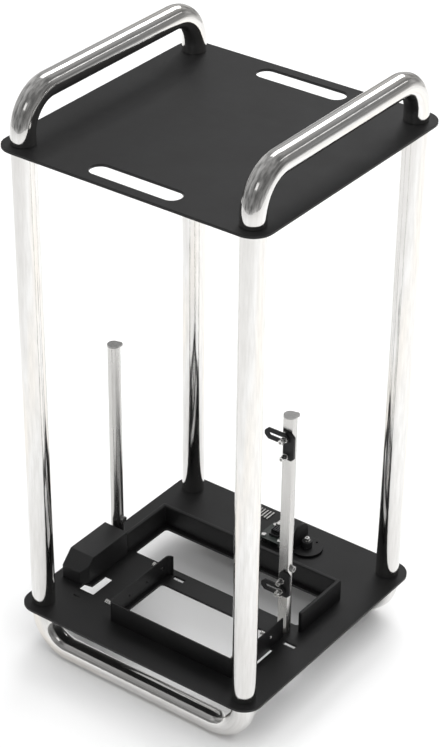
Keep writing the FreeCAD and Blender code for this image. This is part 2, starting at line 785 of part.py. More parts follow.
def post_anchor_screws():
    """Socket screws that hold the two posts from under the deck."""
    screws = []
    for side in ("left", "right"):
        screw = socket_screw(f"anchor_{side}", "dims.plate_thick + dims.anchor_depth")
        place(screw, f"dims.post_{side}_x", f"dims.post_{side}_y", DECK_BASE)
        screws.append(screw)
    node(group("anchor_group", screws), "post_anchor_screws")


# --- adjustable stops on the right-hand post ------------------------------------------

PLATE_LEFT = -3.2
ARM_RIGHT_END = 5.0
ARM_SLOT_INSET = 3.2


def stop_bracket(level):
    """Chamfered plate on the post's flat, held by one screw, with a slotted arm on the other."""
    x0 = SIZE["post_right_x"]
    centre_z = deck_top + SIZE[f"{level}_bracket_z"]
    face_y = SIZE["post_right_y"] - SIZE["post_flat"]
    front_y = face_y - SIZE["bracket_thick"]

    plate, outline = start_body(f"{level}_bracket_body", "XZ_Plane")
    half = "dims.bracket_height / 2"
    right_side = f"{PLATE_LEFT} + dims.bracket_width"
    draw_rectangle(outline, str(PLATE_LEFT), right_side, "-" + half, half)
    for role in ("pivot", "clamp"):
        draw_circle(outline, ZERO, f"dims.{level}_{role}_rise", CLEAR_DIA)
    slab = pad(plate, outline, "dims.bracket_thick")
    sides = [PLATE_LEFT, PLATE_LEFT + SIZE["bracket_width"]]
    corners = corner_edges(slab, sides, SIZE["bracket_height"] / 2)
    bevel_edges(plate, slab, corners, "dims.bracket_chamfer")
    plate.Placement = FreeCAD.Placement(V(x0, face_y, centre_z), TURN())
    for axis, value in zip("xyz", ("dims.post_right_x", "dims.post_right_y - dims.post_flat",
                                   f"{DECK_TOP} + dims.{level}_bracket_z")):
        plate.setExpression(f"Placement.Base.{axis}", value)
    node(plate, f"{level}_bracket")

    play = SIZE["arm_play"]
    tip_y = face_y + SIZE["thread_depth"] - BOLT_END
    seats = {"clamp": front_y, "pivot": front_y - 2 * play - SIZE["arm_thick"]}
    for role, seat_y in seats.items():
        z = stop_screw_height(level, role)
        washer_y = seat_y - SIZE["washer_thick"]
        head_y = washer_y - SIZE["nut_height"]
        screw = socket_screw(f"{level}_{role}", tip_y - head_y)
        node(turned(screw, (x0, head_y, z), BACKWARDS), f"{level}_{role}_screw")
        node(turned(hex_nut(f"{level}_{role}_hex"), (x0, head_y, z), BACKWARDS), f"{level}_{role}_nut")
        washer = ring(f"{level}_{role}_ring", "dims.washer_dia", TAPPED_DIA, "dims.washer_thick")
        node(turned(washer, (x0, washer_y, z), BACKWARDS), f"{level}_{role}_washer")

    arm, shape = start_body(f"{level}_arm_body", "XZ_Plane")
    right = str(ARM_RIGHT_END)
    half = "dims.arm_height / 2"
    draw_rectangle(shape, f"{right} - dims.arm_length", right, "-" + half, half)
    slot_centre = f"{ARM_RIGHT_END - ARM_SLOT_INSET} - dims.arm_slot_length / 2"
    draw_slot(shape, slot_centre, ZERO, "dims.arm_slot_length", "dims.arm_slot_width")
    bar = pad(arm, shape, "dims.arm_thick")
    ends = [ARM_RIGHT_END, ARM_RIGHT_END - SIZE["arm_length"]]
    corners = corner_edges(bar, ends, SIZE["arm_height"] / 2)
    bevel_edges(arm, bar, corners, "dims.arm_height / 3")
    pivot_z = stop_screw_height(level, "pivot")
    arm.Placement = FreeCAD.Placement(V(x0, front_y - play, pivot_z), TURN())
    node(arm, f"{level}_arm")


def corner_edges(slab, sides, half_height):
    """The edges through a flat bar's thickness at its four outer corners."""
    names = edges_where(slab, lambda p: abs(abs(p.z) - half_height) < TINY
                        and min(abs(p.x - side) for side in sides) < TINY)
    return [name for name in names if is_along_y(slab, name)]


def is_along_y(feature, name):
    a, b = [v.Point for v in feature.Shape.Edges[int(name[4:]) - 1].Vertexes]
    return abs(a.x - b.x) < TINY and abs(a.z - b.z) < TINY


def hex_nut(name):
    """A tall hexagon nut standing on the origin."""
    solid = doc.addObject("Part::Prism", name + "_solid")
    solid.Polygon = 6
    bind(solid, "Circumradius", "dims.nut_width / sqrt(3)")
    bind(solid, "Height", "dims.nut_height")
    return cut(name, solid, rod(name + "_thread", TAPPED_DIA, "dims.nut_height", ORIGIN))


def ring(name, outer, inner, height):
    """A flat ring standing on the origin."""
    solid = rod(name + "_outer", outer, height, ORIGIN)
    hole = rod(name + "_inner", inner, height, ORIGIN)
    return cut(name, solid, hole)


# --- control board --------------------------------------------------------------------

BOARD_HOLE_INSET = 5.0
BOARD_SCREW_DEPTH = 5.0
DRIVER_SIZE = (12.0, 13.0, 2.4)
DRIVER_PLACE = (-4.0, 102.5)
SINK_INSET_X = 1.5
SINK_INSET_Y = 2.0
SINK_SIZE = (9.0, 9.0, 5.5)
SINK_BASE = 1.5
SINK_FINS = 4
SINK_GROOVE = 1.3
SOCKET_SIZE = (6.0, 6.5, 7.0)
SOCKET_WALL = 0.8
SOCKET_FLOOR = 2.0
SOCKET_X = 10.5
SOCKET_Y = [103.5, 111.5]
PORT_SIZE = (11.0, 10.0, 7.0)
PORT_WALL = 1.0
PORT_PLACE = (-5.0, 117.0)


def control_board():
    """Small printed circuit board on four standoffs."""
    board_z = f"{DECK_TOP} + dims.standoff_height"
    board_top = f"{board_z} + dims.board_thick"
    blank = block("board_blank",
                  ("dims.board_right - dims.board_left", "dims.board_back - dims.board_front",
                   "dims.board_thick"),
                  ("dims.board_left", "dims.board_front", board_z))
    drills = []
    pillars = []
    screws = []
    for side, inward in (("left", "+"), ("right", "-")):
        for end, toward in (("front", "+"), ("back", "-")):
            x = f"dims.board_{side} {inward} {BOARD_HOLE_INSET}"
            y = f"dims.board_{end} {toward} {BOARD_HOLE_INSET}"
            tag = f"{end}_{side}"
            drills.append(rod(f"board_drill_{tag}", CLEAR_DIA, "dims.board_thick", (x, y, board_z)))
            pillar = ring(f"standoff_{tag}", "dims.standoff_dia", TAPPED_DIA, "dims.standoff_height")
            place(pillar, x, y, DECK_TOP)
            pillars.append(pillar)
            shank = rod(f"board_screw_{tag}_shank", "dims.screw_dia",
                        f"dims.board_thick + {BOARD_SCREW_DEPTH}",
                        (x, y, f"{board_z} - {BOARD_SCREW_DEPTH}"))
            head = rod(f"board_screw_{tag}_head", "dims.head_dia", "dims.head_height / 2",
                       (x, y, board_top))
            screws.append(fuse(f"board_screw_{tag}", shank, head))
    node(cut("board_drilled", blank, *drills), "control_board")
    node(group("standoff_group", pillars), "board_standoffs")
    node(group("board_screw_group", screws), "board_screws")


def board_components():
    """Driver module with its finned sink, two lead sockets and the data port."""
    z = deck_top + SIZE["standoff_height"] + SIZE["board_thick"]
    x, y = DRIVER_PLACE
    node(block("driver_body", DRIVER_SIZE, (x, y, z)), "driver_module")
    wide, deep, tall = SINK_SIZE
    x += SINK_INSET_X
    y += SINK_INSET_Y
    z_sink = z + DRIVER_SIZE[2]
    pitch = (wide + SINK_GROOVE) / SINK_FINS
    grooves = [block(f"sink_groove_{k}", (SINK_GROOVE, deep, tall - SINK_BASE),
                     (x + pitch * k - SINK_GROOVE, y, z_sink + SINK_BASE))
               for k in range(1, SINK_FINS)]
    node(cut("sink_cut", block("sink_blank", SINK_SIZE, (x, y, z_sink)), *grooves), "heat_sink")

    wide, deep, tall = SOCKET_SIZE
    well_size = (wide - 2 * SOCKET_WALL, deep - 2 * SOCKET_WALL, tall - SOCKET_FLOOR)
    sockets = []
    for i, y in enumerate(SOCKET_Y):
        body = block(f"socket_{i}_body", SOCKET_SIZE, (SOCKET_X, y, z))
        well_corner = (SOCKET_X + SOCKET_WALL, y + SOCKET_WALL, z + SOCKET_FLOOR)
        sockets.append(cut(f"socket_{i}", body, block(f"socket_{i}_well", well_size, well_corner)))
    node(group("socket_group", sockets), "board_sockets")

    wide, deep, tall = PORT_SIZE
    x, y = PORT_PLACE
    mouth = block("port_mouth", (wide - 2 * PORT_WALL, deep - PORT_WALL, tall - 2 * PORT_WALL),
                  (x + PORT_WALL, y + PORT_WALL, z + PORT_WALL))
    node(cut("port_cut", block("port_can", PORT_SIZE, (x, y, z)), mouth), "data_port")


# --- swivel foot ----------------------------------------------------------------------

SWIVEL_GAP = 0.1
EAR_OFFSET_X = -9.0
RIM_HOLE_DIA = 2.5
RIM_HOLE_RADIUS = 13.8
RIM_HOLE_ANGLE = 71.0


def swivel_foot():
    """A round turntable carrying an ear and a hub, turning on a pin through the deck."""
    x, y = SIZE["swivel_x"], SIZE["swivel_y"]
    base_z = deck_top + SIZE["shoulder_thick"] + SWIVEL_GAP
    top_z = base_z + SIZE["swivel_thick"]
    bore_dia = "dims.pin_dia + 2 * dims.pin_play"
    disc = rod("turntable_disc", "dims.swivel_dia", "dims.swivel_thick", (x, y, base_z))
    bore = rod("turntable_bore", bore_dia, "dims.swivel_thick", (x, y, base_z))
    angle = math.radians(RIM_HOLE_ANGLE)
    rim_foot = (x + RIM_HOLE_RADIUS * math.cos(angle), y + RIM_HOLE_RADIUS * math.sin(angle), base_z)
    rim_hole = rod("turntable_rim_hole", RIM_HOLE_DIA, "dims.swivel_thick", rim_foot)
    node(cut("turntable_cut", disc, bore, rim_hole), "turntable")
    hub = ring("turntable_hub_ring", "dims.hub_dia", bore_dia, "dims.hub_height")
    place(hub, x, y, top_z)
    node(hub, "turntable_hub")
    swivel_ear(x + EAR_OFFSET_X, y, top_z)

    pin_top = top_z + SIZE["hub_height"] + SWIVEL_GAP
    pin_base = deck_base - SIZE["pin_nut_height"]
    shank = rod("turntable_pin_shank", "dims.pin_dia", pin_top - pin_base, (x, y, pin_base))
    shoulder = rod("turntable_pin_shoulder", "dims.shoulder_dia", "dims.shoulder_thick", (x, y, DECK_TOP))
    thread = rod("turntable_pin_thread", TAPPED_DIA, "dims.thread_depth",
                 (x, y, f"{pin_top} - dims.thread_depth"))
    node(cut("turntable_pin_tapped", fuse("turntable_pin_fused", shank, shoulder), thread), "turntable_pin")
    nut = ring("turntable_nut_ring", "dims.shoulder_dia", "dims.pin_dia", "dims.pin_nut_height")
    place(nut, x, y, pin_base)
    node(nut, "turntable_nut")
    washer = ring("turntable_hub_ring_washer", "dims.washer_dia", TAPPED_DIA, "dims.washer_thick")
    place(washer, x, y, pin_top)
    node(washer, "turntable_hub_washer")
    screw = socket_screw("turntable_hub_bolt", SIZE["thread_depth"] + SIZE["washer_thick"] - BOLT_END)
    node(turned(screw, (x, y, pin_top + SIZE["washer_thick"]), DOWNWARDS), "turntable_hub_screw")


def swivel_ear(x, y, z):
    """An upright plate with a round top, standing on the turntable."""
    body, outline = start_body("turntable_ear_body", "YZ_Plane")
    r = SIZE["ear_radius"]
    shoulder = SIZE["ear_height"] - r
    outline.addGeometry(Part.LineSegment(V(-r, 0, 0), V(r, 0, 0)), False)
    outline.addGeometry(Part.LineSegment(V(r, 0, 0), V(r, shoulder, 0)), False)
    outline.addGeometry(Part.ArcOfCircle(Part.Circle(V(0, shoulder, 0), UP, r), 0, math.pi), False)
    outline.addGeometry(Part.LineSegment(V(-r, shoulder, 0), V(-r, 0, 0)), False)
    outline.addConstraint(Sketcher.Constraint("Coincident", 0, 2, 1, 1))
    outline.addConstraint(Sketcher.Constraint("Tangent", 1, 2, 2, 1))
    outline.addConstraint(Sketcher.Constraint("Tangent", 2, 2, 3, 1))
    outline.addConstraint(Sketcher.Constraint("Coincident", 3, 2, 0, 1))
    outline.addConstraint(Sketcher.Constraint("Horizontal", 0))
    dimension(outline, "Radius", (2,), "dims.ear_radius")
    dimension(outline, "DistanceX", (-1, 1, 2, 3), ZERO)
    dimension(outline, "DistanceY", (-1, 1, 2, 3), "dims.ear_height - dims.ear_radius")
    dimension(outline, "DistanceY", (-1, 1, 0, 1), ZERO)
    pad(body, outline, "dims.ear_thick")
    body.Placement = FreeCAD.Placement(V(x - SIZE["ear_thick"] / 2, y, z), TURN())
    node(body, "turntable_ear")


def finish():
    """Check every object, then write each piece to a file of its own."""
    doc.recompute()
    for thing in doc.Objects:
        if {"Invalid", "Error"} & set(thing.State):
            raise RuntimeError(f"{thing.Label} failed: {thing.State}")
    os.makedirs("parts", exist_ok=True)
    for thing in nodes:
        shape = thing.Shape
        if shape.isNull() or not shape.isValid() or shape.Volume <= 0:
            raise RuntimeError(f"{thing.Label} has no sound shape")
        shape.exportStep(f"parts/{thing.Label}.step")
        box = shape.BoundBox
        print(f"{thing.Label}: {len(shape.Solids)} solid(s), {shape.Volume:.0f} mm3,"
              f" x {box.XMin:.1f}..{box.XMax:.1f} y {box.YMin:.1f}..{box.YMax:.1f}"
              f" z {box.ZMin:.1f}..{box.ZMax:.1f}")
    print(f"{len(nodes)} pieces")


chrome_frame()
tube_joints()
top_shelf()
bottom_deck()
cooling_fins()
bay_guard()
tray_frame()
supply_cover()
supply_insides()
for side_name in ("left", "right"):
    guide_post(side_name)
post_anchor_screws()
for level_name in ("upper", "lower"):
    stop_bracket(level_name)
control_board()
board_components()
swivel_foot()
finish()
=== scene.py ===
import math

import bmesh
import bpy
from mathutils import Matrix, Vector


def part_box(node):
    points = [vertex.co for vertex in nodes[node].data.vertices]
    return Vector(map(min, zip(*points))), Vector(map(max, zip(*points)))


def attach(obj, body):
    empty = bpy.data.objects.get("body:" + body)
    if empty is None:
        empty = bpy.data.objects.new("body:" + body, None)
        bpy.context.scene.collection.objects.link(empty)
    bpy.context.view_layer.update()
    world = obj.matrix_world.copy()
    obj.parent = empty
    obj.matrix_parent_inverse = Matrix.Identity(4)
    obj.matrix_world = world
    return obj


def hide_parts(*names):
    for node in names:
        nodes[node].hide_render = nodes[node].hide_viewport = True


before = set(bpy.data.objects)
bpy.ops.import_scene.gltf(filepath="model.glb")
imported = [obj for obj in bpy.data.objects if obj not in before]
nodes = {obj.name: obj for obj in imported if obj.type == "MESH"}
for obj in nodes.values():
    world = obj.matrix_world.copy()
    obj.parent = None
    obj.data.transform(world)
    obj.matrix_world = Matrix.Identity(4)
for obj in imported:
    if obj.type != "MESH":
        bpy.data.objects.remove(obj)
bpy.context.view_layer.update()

scene = bpy.context.scene

MM = 0.001
WELD_GAP = 0.005 * MM


# --- shader arithmetic ----------------------------------------------------------------


class Value:
    """A number that a node gives, ready for plain arithmetic."""

    def __init__(self, finish, socket):
        self.finish = finish
        self.socket = socket

    def maths(self, operation, first, second):
        return self.finish.node("Math", {"operation": operation}, {0: first, 1: second})

    def __add__(self, other):
        return self.maths("ADD", self, other)

    def __radd__(self, other):
        return self.maths("ADD", other, self)

    def __sub__(self, other):
        return self.maths("SUBTRACT", self, other)

    def __rsub__(self, other):
        return self.maths("SUBTRACT", other, self)

    def __mul__(self, other):
        return self.maths("MULTIPLY", self, other)

    def __rmul__(self, other):
        return self.maths("MULTIPLY", other, self)


class Finish:
    """A material under construction: its node tree and its main shader."""

    def __init__(self, name):
        self.material = bpy.data.materials.new(name)
        self.material.use_nodes = True
        self.tree = self.material.node_tree
        self.tree.nodes.clear()
        self.shader = self.tree.nodes.new("ShaderNodeBsdfPrincipled")
        output = self.tree.nodes.new("ShaderNodeOutputMaterial")
        self.tree.links.new(self.shader.outputs["BSDF"], output.inputs["Surface"])

    def set(self, **sockets):
        """Put values or links on the main shader's sockets, named with _ for each space."""
        for name, value in sockets.items():
            self.feed(self.shader.inputs[name.replace("_", " ")], value)

    def feed(self, socket, value):
        if isinstance(value, Value):
            self.tree.links.new(value.socket, socket)
        elif socket.type == "RGBA" and len(value) == 3:
            socket.default_value = (*value, 1.0)
        else:
            socket.default_value = value

    def node(self, kind, settings=None, sockets=None, output=0):
        """Add one node: its settings first, then the values or links of its sockets."""
        made = self.tree.nodes.new("ShaderNode" + kind)
        for name, value in (settings or {}).items():
            if name == "stops":
                self.set_stops(made.color_ramp, value)
            else:
                setattr(made, name, value)
        for name, value in (sockets or {}).items():
            self.feed(made.inputs[name], value)
        return Value(self, made.outputs[output])

    def set_stops(self, ramp, stops):
        while len(ramp.elements) > len(stops):
            ramp.elements.remove(ramp.elements[-1])
        while len(ramp.elements) < len(stops):
            ramp.elements.new(1.0)
        for element, (position, shade) in zip(ramp.elements, stops):
            element.position = position
            element.color = (*shade, 1.0)

    def place(self):
        """Where the surface is, in metres of the machine's own frame."""
        return self.node("TexCoord", output="Object")

    def stretched(self, vector, scale):
        return self.node("VectorMath", {"operation": "MULTIPLY"}, {0: vector, 1: scale})

    def grain(self, vector, scale, detail=3.0, rough=0.5):
        """Cloudy noise from 0 to 1."""
        sockets = {"Vector": vector, "Scale": scale, "Detail": detail, "Roughness": rough}
        return self.node("TexNoise", {"noise_dimensions": "3D"}, sockets, "Fac")

    def ramp(self, value, *stops):
        return self.node("ValToRGB", {"stops": stops}, {"Fac": value}, "Color")

    def span(self, value, low, high, start=0.0, end=1.0):
        """The value's stretch from low to high, drawn out to run from start to end."""
        sockets = {"Value": value, "From Min": low, "From Max": high, "To Min": start, "To Max": end}
        return self.node("MapRange", {"clamp": True}, sockets)

    def blend(self, share, first, second):
        """A mix of two colours by a share from 0 to 1."""
        made = self.tree.nodes.new("ShaderNodeMix")
        made.data_type = "RGBA"
        for index, value in ((0, share), (6, first), (7, second)):
            self.feed(made.inputs[index], value)
        return Value(self, made.outputs[2])

    def bump(self, height, strength, distance):
        sockets = {"Height": height, "Strength": strength, "Distance": distance}
        return self.node("Bump", None, sockets, "Normal")


# --- finishes -------------------------------------------------------------------------


def polished_tube_finish():
    """Bright plated tube: nearly a mirror, with polishing lines, hazy patches in its roughness, and painted
    reflection stripes, peach and grey, in its colour.
    """
    f = Finish("polished_tube_plating")
    wrap = f.node("UVMap", {"uv_map": "wrap"}, output="UV")
    lines = f.grain(f.stretched(wrap, (30.0, 30.0, 1.8)), 1.0, 4.0, 0.6)
    hairs = f.grain(f.stretched(wrap, (130.0, 130.0, 5.0)), 1.0, 3.0, 0.6)
    haze = f.grain(f.place(), 19.0, 2.0, 0.5)
    # Painted reflection: the broad peach and grey stripes in the base colour stand in for the surroundings
    # mirrored in the tube.
    painted_reflection_stripes = f.grain(f.stretched(wrap, (3.4, 3.4, 0.35)), 1.0, 1.0, 0.4)
    grey_reflection, plain, peach_reflection = (0.71, 0.70, 0.685), (0.78, 0.775, 0.765), (0.80, 0.765, 0.715)
    reflection_stripe_colour = f.ramp(painted_reflection_stripes, (0.38, grey_reflection), (0.5, plain), (0.62, peach_reflection))
    shade = f.blend(f.span(lines, 0.38, 0.68, 0.0, 0.6), reflection_stripe_colour, (0.60, 0.59, 0.57))
    f.set(Base_Color=shade, Metallic=1.0,
          Roughness=f.span(haze, 0.35, 0.75, 0.05, 0.12) + f.span(hairs, 0.3, 0.7, 0.0, 0.07),
          Normal=f.bump(lines * 0.6 + hairs * 0.4, 0.06, 0.0006))
    return f.material


def powder_black_finish():
    """Black powder coat: satin, with a fine orange peel and a little dust in the sheen."""
    f = Finish("powder_black")
    spot = f.place()
    peel = f.grain(spot, 1400.0, 2.0, 0.6)
    cloud = f.grain(spot, 21.0, 4.0, 0.6)
    shade = f.blend(f.span(cloud, 0.3, 0.7), (0.0045, 0.0045, 0.005), (0.008, 0.0078, 0.0078))
    f.set(Base_Color=shade, Metallic=0.0,
          Roughness=f.span(cloud, 0.25, 0.75, 0.44, 0.56) + (peel - 0.5) * 0.1,
          Normal=f.bump(peel, 0.22, 0.0003), Specular_IOR_Level=0.33)
    return f.material


def moulded_black_finish():
    """Injection-moulded black plastic with a fine spark-eroded texture."""
    f = Finish("moulded_black")
    spot = f.place()
    spark = f.node("TexVoronoi", {"feature": "F1"}, {"Vector": spot, "Scale": 1500.0}, "Distance")
    cloud = f.grain(spot, 34.0, 3.0)
    shade = f.blend(cloud, (0.011, 0.011, 0.0115), (0.0175, 0.0175, 0.0175))
    f.set(Base_Color=shade, Roughness=f.span(cloud, 0.3, 0.7, 0.46, 0.6),
          Normal=f.bump(spark, 0.3, 0.0002), Specular_IOR_Level=0.4)
    return f.material


def drawn_steel_finish():
    """Cold-drawn bar: satin metal with fine lines along its length."""
    f = Finish("drawn_steel")
    spot = f.place()
    lines = f.grain(f.stretched(spot, (1.0, 1.0, 0.012)), 1900.0, 3.0, 0.7)
    cloud = f.grain(f.stretched(spot, (1.0, 1.0, 0.25)), 60.0, 3.0)
    shade = f.blend(f.span(lines, 0.3, 0.7), (0.50, 0.49, 0.475), (0.64, 0.635, 0.62))
    f.set(Base_Color=shade, Metallic=1.0, Roughness=f.span(cloud, 0.3, 0.7, 0.22, 0.31),
          Normal=f.bump(lines, 0.12, 0.0002))
    return f.material


def turned_steel_finish():
    """Lathe-turned ends: darker satin metal, faintly mottled."""
    f = Finish("turned_steel")
    spot = f.place()
    mottle = f.grain(spot, 900.0, 2.0, 0.6)
    shade = f.blend(f.span(mottle, 0.35, 0.65), (0.27, 0.268, 0.262), (0.38, 0.376, 0.37))
    f.set(Base_Color=shade, Metallic=1.0, Roughness=f.span(mottle, 0.3, 0.7, 0.3, 0.42),
          Normal=f.bump(mottle, 0.1, 0.0002))
    return f.material


def screw_steel_finish():
    """Bright rolled screws, nuts and washers, a little uneven."""
    f = Finish("bright_screw_steel")
    spot = f.place()
    marks = f.grain(spot, 700.0, 3.0, 0.65)
    shade = f.blend(f.span(marks, 0.3, 0.7), (0.55, 0.545, 0.53), (0.82, 0.815, 0.8))
    f.set(Base_Color=shade, Metallic=1.0, Roughness=f.span(marks, 0.3, 0.7, 0.16, 0.34),
          Normal=f.bump(marks, 0.08, 0.0002))
    return f.material


def circuit_board_finish():
    """Dark solder-masked board with faint copper tracks under the mask."""
    f = Finish("dark_circuit_board")
    spot = f.place()
    layout = {"Vector": spot, "Scale": 110.0, "Mortar Size": 0.035, "Bias": -0.2}
    tracks = f.node("TexBrick", {"offset": 0.37, "squash": 1.0}, layout, "Fac")
    cloud = f.grain(spot, 90.0, 3.0)
    mask = f.blend(cloud, (0.008, 0.012, 0.011), (0.014, 0.02, 0.018))
    f.set(Base_Color=f.blend(tracks * 0.55, mask, (0.035, 0.045, 0.038)),
          Roughness=f.span(cloud, 0.3, 0.7, 0.28, 0.4), Normal=f.bump(tracks, 0.3, 0.00005))
    return f.material


def chip_black_finish():
    """Moulded component bodies: dull black with a faint grain."""
    f = Finish("chip_black")
    grain = f.grain(f.place(), 1100.0, 3.0)
    f.set(Base_Color=f.blend(grain, (0.012, 0.012, 0.013), (0.024, 0.024, 0.025)),
          Roughness=f.span(grain, 0.3, 0.7, 0.42, 0.6), Normal=f.bump(grain, 0.15, 0.0002))
    return f.material


def finned_metal_finish():
    """Dark anodised aluminium with extrusion lines along the fins."""
    f = Finish("anodised_fins")
    lines = f.grain(f.stretched(f.place(), (1.0, 0.06, 1.0)), 1500.0, 2.0)
    f.set(Base_Color=f.blend(lines, (0.05, 0.05, 0.053), (0.11, 0.11, 0.115)), Metallic=0.85,
          Roughness=f.span(lines, 0.3, 0.7, 0.3, 0.45), Normal=f.bump(lines, 0.15, 0.0002))
    return f.material


def socket_plastic_finish():
    """Dark nylon of the plug sockets and terminals."""
    f = Finish("socket_nylon")
    grain = f.grain(f.place(), 500.0, 3.0)
    f.set(Base_Color=f.blend(grain, (0.016, 0.016, 0.017), (0.03, 0.03, 0.031)),
          Roughness=f.span(grain, 0.3, 0.7, 0.35, 0.5), Normal=f.bump(grain, 0.1, 0.0002))
    return f.material


def floor_finish():
    """Plain white floor paper."""
    f = Finish("floor_paper")
    grain = f.grain(f.place(), 6.0, 3.0)
    f.set(Base_Color=f.blend(grain, (0.86, 0.86, 0.86), (0.88, 0.88, 0.88)), Roughness=0.9,
          Specular_IOR_Level=0.1)
    return f.material


FINISHES = {
    "polished_tube": polished_tube_finish(),
    "satin_black_sheet": powder_black_finish(),
    "black_moulding": moulded_black_finish(),
    "drawn_bar": drawn_steel_finish(),
    "turned_cap": turned_steel_finish(),
    "screw_steel": screw_steel_finish(),
    "circuit_board": circuit_board_finish(),
    "black_chip": chip_black_finish(),
    "finned_metal": finned_metal_finish(),
    "socket_plastic": socket_plastic_finish(),
}


# --- meshes ---------------------------------------------------------------------------

SHARP_DEGREES = 30.0


def piece(name, mesh, slot, stands_for):
    """Show a finished mesh in place of one designed node of the chassis."""
    made = bpy.data.objects.new(name, mesh)
    scene.collection.objects.link(made)
    mesh.materials.clear()
    mesh.materials.append(FINISHES[slot])
    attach(made, "chassis")
    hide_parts(stands_for)
    return made


def smooth_by_angle(mesh, degrees):
    mesh.polygons.foreach_set("use_smooth", [True] * len(mesh.polygons))
    mesh.set_sharp_from_angle(angle=math.radians(degrees))


def rounded(thing, name, width, segments):
    """Round every edge of a piece that is sharper than the limit."""
    bevel = thing.modifiers.new(name, "BEVEL")
    bevel.width = width
    bevel.segments = segments
    bevel.limit_method = "ANGLE"
    bevel.angle_limit = math.radians(SHARP_DEGREES)
    return bevel


def eased(thing, width):
    """Break the sharp edges of a piece, as a file or a deburring wheel would."""
    thing.modifiers.new("join", "WELD").merge_threshold = WELD_GAP
    rounded(thing, "eased_edges", width, 2)
    thing.modifiers.new("even_shading", "WEIGHTED_NORMAL").keep_sharp = True


# --- chrome tubes ---------------------------------------------------------------------

TUBE_SIDES = 96
BEND_STEPS = 28
TUBE_WALL = 1.5 * MM
TUBE_EDGE = 0.4 * MM
BEND_RADIUS = 38.0 * MM
SMOOTH_TUBE_DEGREES = 40.0


def straight_path(start, end):
    """Points and tangents of a straight tube."""
    along = (end - start).normalized()
    return [(start, along), (end, along)]


def bent_path(first_foot, last_foot, rise):
    """Points and tangents of a U-bent tube that rises from one foot and drops to the other."""
    up = rise.normalized()
    across = (last_foot - first_foot).normalized()
    start_of_bend = up * (rise.length - BEND_RADIUS)
    first_centre = first_foot + start_of_bend + across * BEND_RADIUS
    last_centre = last_foot + start_of_bend - across * BEND_RADIUS
    angles = [math.pi / 2 * step / BEND_STEPS for step in range(BEND_STEPS + 1)]
    path = [(first_foot, up)]
    for angle in angles:
        outward = up * math.sin(angle) - across * math.cos(angle)
        path.append((first_centre + outward * BEND_RADIUS, up * math.cos(angle) + across * math.sin(angle)))
    for angle in angles:
        outward = across * math.sin(angle) + up * math.cos(angle)
        path.append((last_centre + outward * BEND_RADIUS, across * math.cos(angle) - up * math.sin(angle)))
    path.append((last_foot, -up))
    return path


def tube_stations(path, radius):
    """Point, tangent, radius and run of each ring: out along the tube and back inside it."""
    runs = [0.0]
    for (before, _), (after, _) in zip(path, path[1:]):
        runs.append(runs[-1] + (after - before).length)
    (first, first_along), (last, last_along) = path[0], path[-1]
    middle = [(point, along, radius, run) for (point, along), run in zip(path, runs)][1:-1]
    outside = [(first, first_along, radius - TUBE_EDGE, 0.0),
               (first + first_along * TUBE_EDGE, first_along, radius, TUBE_EDGE),
               *middle,
               (last - last_along * TUBE_EDGE, last_along, radius, runs[-1] - TUBE_EDGE),
               (last, last_along, radius - TUBE_EDGE, runs[-1])]
    inside = [(point, along, radius - TUBE_WALL, run) for (point, along), run in zip(path, runs)]
    return outside + inside[::-1]


def tube_ring(bm, point, along, radius, side):
    normal = side.cross(along)
    ring = []
    for k in range(TUBE_SIDES):
        angle = 2 * math.pi * k / TUBE_SIDES
        ring.append(bm.verts.new(point + (side * math.cos(angle) + normal * math.sin(angle)) * radius))
    return ring


def tube_mesh(name, path, side, radius):
    """A hollow tube along a path that lies in the plane across `side`."""
    bm = bmesh.new()
    wrap = bm.loops.layers.uv.new("wrap")
    stations = tube_stations(path, radius)
    rings = [tube_ring(bm, point, along, r, side) for point, along, r, _ in stations]
    for i, ring in enumerate(rings):
        after = (i + 1) % len(rings)
        near, far = stations[i][3], stations[after][3]
        for k in range(TUBE_SIDES):
            j = (k + 1) % TUBE_SIDES
            face = bm.faces.new((ring[k], ring[j], rings[after][j], rings[after][k]))
            corners = ((k, near), (k + 1, near), (k + 1, far), (k, far))
            for corner, (turn, run) in zip(face.loops, corners):
                corner[wrap].uv = (turn / TUBE_SIDES, run)
    bmesh.ops.recalc_face_normals(bm, faces=bm.faces)
    mesh = bpy.data.meshes.new(name)
    bm.to_mesh(mesh)
    bm.free()
    smooth_by_angle(mesh, SMOOTH_TUBE_DEGREES)
    return mesh


def polished_tube(kind, which, path, side, radius):
    """One polished tube in place of the designed one."""
    mesh = tube_mesh(f"{kind}_tube_{which}", path, side, radius)
    piece(f"polished_{kind}_{which}", mesh, "polished_tube", f"{kind}_{which}")


def chrome_tubes():
    """The four legs, the two handles and the two foot rails."""
    along_x, along_y = Vector((1, 0, 0)), Vector((0, 1, 0))
    for which in ("front_left", "front_right", "back_left", "back_right"):
        low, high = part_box("leg_" + which)
        centre = (low + high) / 2
        path = straight_path(Vector((centre.x, centre.y, low.z)), Vector((centre.x, centre.y, high.z)))
        polished_tube("leg", which, path, along_x, (high.x - low.x) / 2)
    for which in ("left", "right"):
        low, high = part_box("handle_" + which)
        radius = (high.x - low.x) / 2
        x = (low.x + high.x) / 2
        path = bent_path(Vector((x, low.y + radius, low.z)), Vector((x, high.y - radius, low.z)),
                         Vector((0, 0, high.z - radius - low.z)))
        polished_tube("handle", which, path, along_x, radius)
    for which in ("front", "back"):
        low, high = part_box("foot_rail_" + which)
        radius = (high.y - low.y) / 2
        y = (low.y + high.y) / 2
        path = bent_path(Vector((low.x + radius, y, high.z)), Vector((high.x - radius, y, high.z)),
                         Vector((0, 0, low.z + radius - high.z)))
        polished_tube("foot_rail", which, path, along_y, radius)


# --- plates, walls and machined pieces ------------------------------------------------

